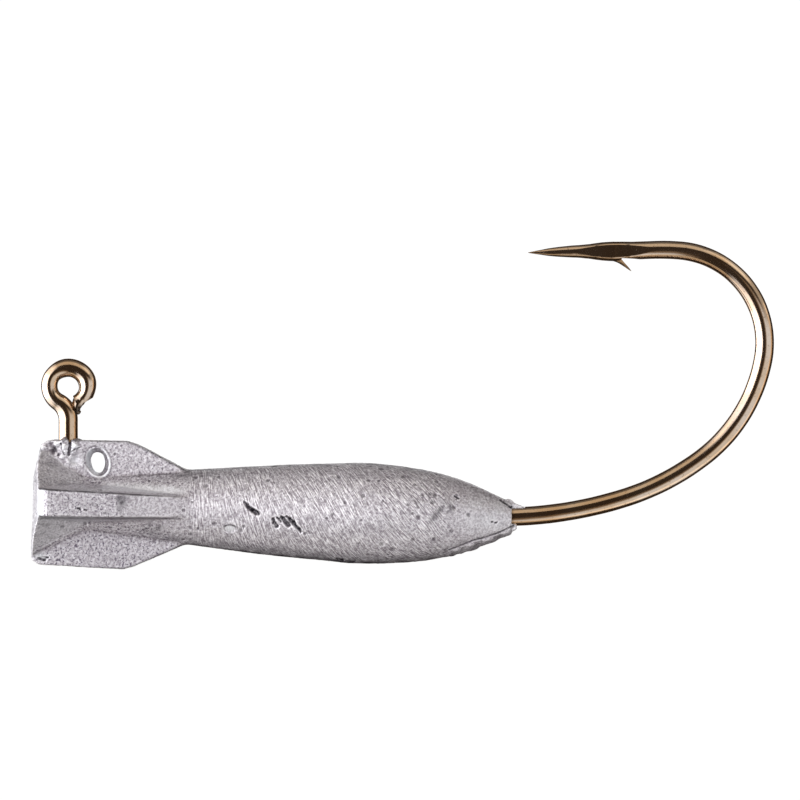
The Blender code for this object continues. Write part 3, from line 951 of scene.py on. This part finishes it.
def tone_ends(skin):
    """Painted shade on the lower fin, a painted highlight at its corner, and a painted highlight on the
    nose.
    """
    x, z = skin.x, skin.z
    # painted shade on the lower fin
    dull = ease(z, -2.6, -3.2) * ease(np.abs(skin.y), 1.7, 1.5) * (1 - skin.body)
    skin.darken(0.13 * dull * skin.near)
    # a painted highlight at the lower fin's front corner
    skin.brighten(0.6 * bell(x, -2.1, 0.7) * bell(z, -5.2, 0.3))
    # a painted highlight on the nose
    nose = ease(x, 37.3, 40.5) * ease(np.abs(z - 0.2), 2.5, 0.9) * skin.near
    skin.brighten(0.34 * nose * skin.patchy)


def stipple_amount(skin):
    """How strongly the fine dark dots show: most on the fins' flat faces."""
    amount = (1 - 0.55 * skin.body) * (1 - 0.65 * skin.slope)
    amount *= 1 - 0.1 * ease(skin.filled, 0.15, 0.5)
    return amount * (1 - 0.95 * skin.chamfer) * (1 - 0.25 * ease(skin.z, 2.0, 3.0))


def close_round_wire(co):
    """Draws the skin beside the wire onto it, so that the lead closes round the wire."""
    centres = wire_path()
    inner = centres[(centres[:, 2] < -2.5) & (centres[:, 0] < 47.0)]
    gap, nearest = to_line(co, inner)
    out = co - nearest
    hold = gap < np.where(co[:, 0] < HEAD_END - 0.15, CHANNEL_REACH, OUTSIDE_REACH)
    channel = np.interp(co[:, 0], (4.0, 20.0), (POST_R + CHANNEL_GAP, SEEN_R + CHANNEL_GAP))
    co[hold] = nearest[hold] + out[hold] * (channel[hold] / np.maximum(gap[hold], 1e-6))[:, None]


def make_lead():
    """The casting with its worked skin, and the attributes that its material reads."""
    lead = lead_body()
    mesh = lead.data
    pairs = read(mesh.edges, "vertices", 2, np.int64)
    co = leaned_front(softened(read(mesh.vertices, "co", 3), pairs))
    set_coordinates(mesh, co)
    skin = Skin(co, read(mesh.vertices, "normal", 3))
    for work in (add_grain, add_strokes, add_nicks, add_stains_and_shade, add_oval_pit, add_small_pits,
                 tear_gate, finish_hole, add_seam, darken_fin_edges, tone_hollows, darken_body,
                 shade_grooves, tone_front, tone_ends):
        work(skin)
    co = co + skin.n * skin.move[:, None]
    height = ((co - smoothed(co, pairs, 3)) * skin.n).sum(1)
    close_round_wire(co)
    set_coordinates(mesh, co * MM)
    # grime holds stains, chips and painted shade, and shine holds painted highlights
    for name, values in (("grime_and_shade", skin.grime_and_shade), ("painted_highlight", skin.painted_highlight), ("wrap", skin.wrap),
                         ("relief", (height / RELIEF).clip(-1, 1)), ("stipple", stipple_amount(skin))):
        set_attribute(mesh, name, values)
    mesh.shade_smooth()
    return lead


# ---------------- materials
class Nodes:
    """Short ways to add and join the nodes of a material or world. A value may be a node's output."""

    def __init__(self, owner):
        self.owner = owner
        owner.use_nodes = True
        self.tree = owner.node_tree
        self.shader = self.tree.nodes.get("Principled BSDF")

    def give(self, node, values):
        for key, value in values.items():
            if isinstance(value, bpy.types.NodeSocket):
                self.tree.links.new(value, node.inputs[key])
            else:
                node.inputs[key].default_value = value

    def add(self, kind, values, **settings):
        node = self.tree.nodes.new("ShaderNode" + kind)
        for key, value in settings.items():
            setattr(node, key, value)
        self.give(node, values)
        return node

    def noise(self, vector, scale, detail=4.0, roughness=0.55):
        values = {"Vector": vector, "Scale": scale, "Detail": detail, "Roughness": roughness}
        return self.add("TexNoise", values).outputs["Fac"]

    def stretch(self, vector, scale, turn=(0.0, 0.0, 0.0)):
        values = {"Vector": vector, "Scale": scale, "Rotation": turn}
        return self.add("Mapping", values).outputs["Vector"]

    def spread(self, value, low, high, to_low=0.0, to_high=1.0):
        values = {"Value": value, "From Min": low, "From Max": high, "To Min": to_low,
                  "To Max": to_high}
        return self.add("MapRange", values).outputs["Result"]

    def mix(self, share, first, second):
        # a Mix node's colour inputs are its 7th and 8th, and its colour output its 3rd
        return self.add("Mix", {0: share, 6: first, 7: second}, data_type="RGBA").outputs[2]

    def math(self, operation, first, second):
        return self.add("Math", {0: first, 1: second}, operation=operation).outputs[0]

    def attribute(self, name, output="Fac"):
        return self.add("Attribute", {}, attribute_name=name).outputs[output]

    def bump(self, height, distance, strength):
        values = {"Height": height, "Distance": distance, "Strength": strength}
        return self.add("Bump", values).outputs["Normal"]


# colours of the bronzed wire
BRONZE = (0.77, 0.53, 0.32, 1.0)
LIGHT_BRONZE = (0.86, 0.66, 0.47, 1.0)
DEEP_BRONZE = (0.62, 0.38, 0.19, 1.0)
WORN_BRONZE = (0.84, 0.72, 0.6, 1.0)
BRONZE_SPECK = (0.25, 0.15, 0.08, 1.0)
# the darker burr and painted shade on the wire
BURR_AND_SHADE = (0.035, 0.024, 0.018, 1.0)
# colours of the cast lead
LEAD = (0.625, 0.6, 0.645, 1.0)
LIGHT_LEAD = (0.735, 0.715, 0.765, 1.0)
LEAD_BLOT = (0.5, 0.455, 0.485, 1.0)
DARK_GRAIN = (0.2, 0.165, 0.2, 1.0)
GLINT = (0.97, 0.95, 0.99, 1.0)
# oxide and painted shade for hollows, wear and painted highlights for peaks
HOLLOW_OXIDE_AND_SHADE = (0.18, 0.15, 0.18, 1.0)
PEAK_WEAR_AND_HIGHLIGHT = (0.95, 0.93, 0.98, 1.0)
DARK_DOT = (0.09, 0.07, 0.11, 1.0)
BRIGHT_STROKE = (0.98, 0.96, 1.0, 1.0)
DARK_STROKE = (0.2, 0.17, 0.2, 1.0)
# painted highlights, then stains and painted shade
PAINTED_HIGHLIGHT_LEAD = (0.88, 0.9, 0.94, 1.0)
STAIN_AND_SHADE_TONE = (0.012, 0.008, 0.016, 1.0)


def bronze_material():
    """Drawn bronze wire with fine lines along it, darker specks, a darker burr and painted shade in its
    corners.
    """
    m = Nodes(bpy.data.materials.new("bronzed_wire"))
    place = m.add("TexCoord", {}).outputs["Object"]
    drawn = m.noise(m.stretch(m.attribute("lay", "Vector"), (0.1, 3.2, 3.2)), 3.0, 5.0)
    patch = m.noise(place, 240.0, 4.0)
    speck = m.noise(place, 5200.0, 2.0)
    colour = m.mix(m.spread(patch, 0.4, 0.6), BRONZE, LIGHT_BRONZE)
    colour = m.mix(m.spread(drawn, 0.52, 0.72, 0.0, 0.7), colour, DEEP_BRONZE)
    colour = m.mix(m.spread(drawn, 0.3, 0.46, 0.5, 0.0), colour, WORN_BRONZE)
    colour = m.mix(m.spread(speck, 0.62, 0.7, 0.0, 0.55), colour, BRONZE_SPECK)
    # the darker burr and painted shade
    colour = m.mix(m.attribute("burr_and_shade"), colour, BURR_AND_SHADE)
    rough = m.spread(m.math("ADD", drawn, m.spread(speck, 0.6, 0.75, 0.0, 0.5)), 0.3, 1.0, 0.11, 0.23)
    height = m.math("ADD", m.spread(drawn, 0.0, 1.0), m.spread(speck, 0.62, 0.8, 0.0, 0.8))
    m.give(m.shader, {"Base Color": colour, "Metallic": 1.0, "Roughness": rough,
                      "Normal": m.bump(height, 0.000002, 0.5)})
    return m.owner


def brushed_lines(m):
    """Fine lines that follow the slanting strokes, about 0, and none beyond the strokes."""
    wrap = m.attribute("wrap", "Vector")
    along = m.add("SeparateXYZ", {0: wrap})
    brushed = None
    for slant, low, high in STROKE_ZONES:
        turned = m.stretch(wrap, (1.0, 1.0, 1.0), (0.0, 0.0, math.radians(slant)))
        lines = m.noise(m.stretch(turned, (1.0, 9.0, 1.0)), 1.0, 2.0, 0.6)
        rise = m.spread(along.outputs[0], low - STROKE_BLEND, low + STROKE_BLEND)
        fall = m.spread(along.outputs[0], high - STROKE_BLEND, high + STROKE_BLEND, 1.0, 0.0)
        lines = m.math("MULTIPLY", m.math("SUBTRACT", lines, 0.5), m.math("MULTIPLY", rise, fall))
        brushed = lines if brushed is None else m.math("ADD", brushed, lines)
    return brushed


def lead_colour(m, place, blot, grain, fine, brushed):
    """Clouded grey, grain and glints, oxide and painted shade in hollows, wear and painted highlights on
    peaks, dots, strokes, then shine as painted highlights and grime as stains and painted shade.
    """
    cloud = m.noise(place, 130.0, 5.0)
    relief = m.attribute("relief")
    dots = m.spread(m.noise(place, 5600.0, 2.0, 0.5), 0.555, 0.64, 0.0, 0.92)
    dots = m.math("MULTIPLY", dots, m.attribute("stipple"))
    colour = m.mix(m.spread(cloud, 0.3, 0.7), LEAD, LIGHT_LEAD)
    layers = ((m.spread(blot, 0.5, 0.75, 0.0, 0.3), LEAD_BLOT),
              (m.spread(grain, 0.42, 0.56, 0.62, 0.0), DARK_GRAIN),
              (m.spread(fine, 0.56, 0.7, 0.0, 0.55), GLINT),
              # oxide and painted shade in hollows, wear and painted highlights on peaks
              (m.spread(relief, -0.9, 0.1, 0.75, 0.0), HOLLOW_OXIDE_AND_SHADE),
              (m.spread(relief, 0.1, 1.0, 0.0, 0.8), PEAK_WEAR_AND_HIGHLIGHT),
              (dots, DARK_DOT),
              (m.spread(brushed, 0.03, 0.12, 0.0, 0.85), BRIGHT_STROKE),
              (m.spread(brushed, -0.12, -0.03, 0.78, 0.0), DARK_STROKE),
              # painted highlights from shine, then stains and painted shade from grime
              (m.attribute("painted_highlight"), PAINTED_HIGHLIGHT_LEAD),
              (m.attribute("grime_and_shade"), STAIN_AND_SHADE_TONE))
    for share, layer in layers:
        colour = m.mix(share, colour, layer)
    return colour


def lead_material():
    """Dull cast lead, grainy and brushed, with what the skin's attributes say."""
    m = Nodes(bpy.data.materials.new("cast_lead"))
    place = m.add("TexCoord", {}).outputs["Object"]
    blot = m.noise(place, 420.0, 5.0, 0.6)
    grain = m.noise(place, 4300.0, 3.0, 0.6)
    fine = m.noise(place, 9000.0, 2.0, 0.6)
    brushed = brushed_lines(m)
    rough = m.spread(m.math("ADD", grain, blot), 0.7, 1.3, 0.38, 0.56)
    height = m.math("ADD", m.spread(grain, 0.2, 0.8), m.spread(fine, 0.2, 0.8, 0.0, 0.4))
    height = m.math("ADD", height, m.math("MULTIPLY", brushed, 3.0))
    m.give(m.shader, {"Base Color": lead_colour(m, place, blot, grain, fine, brushed),
                      "Metallic": 0.45, "Roughness": rough, "Normal": m.bump(height, 0.00003, 0.8)})
    return m.owner


# ---------------- pieces
hook_wire = make_hook()
lead_casting = make_lead()

for piece, material, node, slot in ((hook_wire, bronze_material(), "hook", "bronzed_wire"),
                                    (lead_casting, lead_material(), "lead_head", "cast_lead")):
    piece.data.materials.clear()
    piece.data.materials.append(material)
    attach(piece, "root")
    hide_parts(node)


# ---------------- camera
# the roll in degrees, the width of the view and the aim from the CAD's middle in millimetres
VIEW_ROLL = 2.0
VIEW_WIDTH = 77.6
AIM_SHIFT = (-0.4, 0.0, 0.43)
LENS = 200.0
SENSOR = 36.0


def make_camera():
    """A long lens, square to the object's side and rolled a little."""
    aim = (cad_low + cad_high) / 2 + Vector(AIM_SHIFT) * MM
    aim.y = 0.0
    roll = math.radians(VIEW_ROLL)
    right = Vector((math.cos(roll), 0.0, math.sin(roll)))
    up = Vector((-math.sin(roll), 0.0, math.cos(roll)))
    back = Vector((0.0, -1.0, 0.0))
    data = bpy.data.cameras.new("camera")
    data.lens = LENS
    data.sensor_width = SENSOR
    data.clip_start = 0.01
    camera = add_object("camera", data)
    turn = Matrix((right, up, back)).transposed().to_4x4()
    camera.matrix_world = Matrix.Translation(aim + back * (VIEW_WIDTH * MM * LENS / SENSOR)) @ turn
    bpy.context.scene.camera = camera


make_camera()


# ---------------- light, in metres
WHITE = (1.0, 1.0, 1.0)
COOL = (0.84, 1.02, 1.3)
PALE = (0.94, 1.0, 1.18)
WARM = (1.1, 0.82, 0.55)
SOFT_WARM = (1.08, 0.94, 0.76)
SOFTBOX_STEPS = 8

middle = (cad_low + cad_high) / 2
cx, cz = middle.x, middle.z


def area_light(name, centre, target, size, radiance, colour=WHITE, only=None):
    """A soft rectangular light. only limits it to one piece."""
    data = bpy.data.lights.new(name, "AREA")
    data.shape = "RECTANGLE"
    data.size, data.size_y = size
    data.energy = radiance * math.pi * size[0] * size[1]
    data.color = colour
    light = add_object(name, data)
    light.location = centre
    look = Vector(target) - Vector(centre)
    light.rotation_euler = look.to_track_quat("-Z", "Y").to_euler()
    light.visible_camera = False
    if only:
        group = bpy.data.collections.new(name + "_receivers")
        group.objects.link(only)
        light.light_linking.receiver_collection = group


def card(name, azimuth, elevation, distance, size, radiance, colour=WHITE, only=None):
    """A light facing the object. Azimuth 0 is in front of it and 90 at its right, in degrees."""
    a, e = math.radians(azimuth), math.radians(elevation)
    way = Vector((math.sin(a) * math.cos(e), -math.cos(a) * math.cos(e), math.sin(e)))
    centre = Vector((cx, 0.0, cz))
    area_light(name, centre + way * distance, centre, size, radiance, colour, only)


def light_left():
    """A tall softbox for the wire, brightest along its middle, and a plain one for the lead."""
    for step in range(SOFTBOX_STEPS):
        share = step / (SOFTBOX_STEPS - 1)
        reach = 1.1 + 0.4 * share
        y = 0.31 - reach / 2
        area_light(f"left_softbox_{step}", (cx - 0.5 - 0.01 * step, y, cz), (cx, y, cz),
                   (reach, 0.48 + 1.02 * share), 1.5 if step == 0 else 0.24, PALE, hook_wire)
    area_light("left_fill", (cx - 0.5, -0.35, cz), (cx, -0.35, cz), (1.3, 0.85), 2.85,
               only=lead_casting)


def light_right():
    """Cool cards with warm ones round them for the wire, and a plain one for the lead."""
    for step in range(3):
        card(f"right_card_{step}", 52.0, -27.0, 0.6 + 0.01 * step,
             (0.7 + 0.1 * step, 0.92 + 0.12 * step), 0.21, COOL, hook_wire)
    card("right_edge", 49.0, -26.0, 0.64, (1.1, 1.26), 0.14, WARM, hook_wire)
    card("right_back", 90.0, -8.0, 0.6, (0.2, 0.75), 0.5, WARM, hook_wire)
    for step in range(2):
        card(f"upper_right_{step}", 82.0, 38.0, 0.6 + 0.01 * step, (0.44 + 0.18 * step,) * 2, 0.2,
             only=hook_wire)
    card("right_fill", 50.0, -22.0, 0.6, (0.9, 1.2), 0.78, only=lead_casting)


def light_round():
    """Strips above and below for both pieces, and fills from the front and from behind."""
    area_light("top_card", (cx, -0.31, cz + 0.5), (cx, -0.31, cz), (1.3, 0.5), 0.4, SOFT_WARM)
    area_light("top_wide", (cx, -0.2, cz + 0.52), (cx, -0.2, cz), (1.3, 0.8), 0.12)
    area_light("low_card", (cx, -0.165, cz - 0.5), (cx, -0.165, cz), (1.3, 0.22), 0.42, SOFT_WARM)
    card("front_fill", 4.0, 14.0, 1.0, (0.9, 0.8), 1.7, only=lead_casting)
    card("back_fill", 184.0, 10.0, 1.2, (0.8, 0.8), 2.4, only=lead_casting)
    card("back_card", 180.0, 0.0, 0.9, (0.8, 0.8), 0.55, only=hook_wire)


light_left()
light_right()
light_round()


# ---------------- floor and surroundings
FLOOR_HALF = 3.0
FLOOR_DROP = 0.08
SURROUND_GLOW = 0.03
BACKDROP_GLOW = 1.05


def make_floor():
    """A pale floor well below the object, bright enough to print as plain white."""
    bm = bmesh.new()
    bmesh.ops.create_grid(bm, x_segments=8, y_segments=8, size=FLOOR_HALF)
    floor = object_from("floor", bm)
    floor.location = (cx, 0.0, cad_low.z - FLOOR_DROP)
    m = Nodes(bpy.data.materials.new("pale_floor"))
    m.give(m.shader, {"Base Color": (0.9, 0.9, 0.9, 1.0), "Roughness": 0.8,
                      "Emission Color": (*WHITE, 1.0), "Emission Strength": 1.0})
    floor.data.materials.append(m.owner)
    floor.visible_glossy = False
    floor.visible_diffuse = False
    floor.visible_shadow = False


def make_world():
    """A white backdrop for the camera, and a dim warm glow for everything else."""
    m = Nodes(bpy.data.worlds.new("studio"))
    bpy.context.scene.world = m.owner
    glow = m.tree.nodes["Background"]
    m.give(glow, {"Color": (1.0, 0.72, 0.55, 1.0), "Strength": SURROUND_GLOW})
    backdrop = m.add("Background", {"Color": (*WHITE, 1.0), "Strength": BACKDROP_GLOW})
    seen = m.add("LightPath", {}).outputs["Is Camera Ray"]
    choose = m.add("MixShader", {0: seen, 1: glow.outputs[0], 2: backdrop.outputs[0]})
    m.give(m.tree.nodes["World Output"], {"Surface": choose.outputs[0]})
    bpy.context.scene.view_settings.view_transform = "Standard"


make_floor()
make_world()
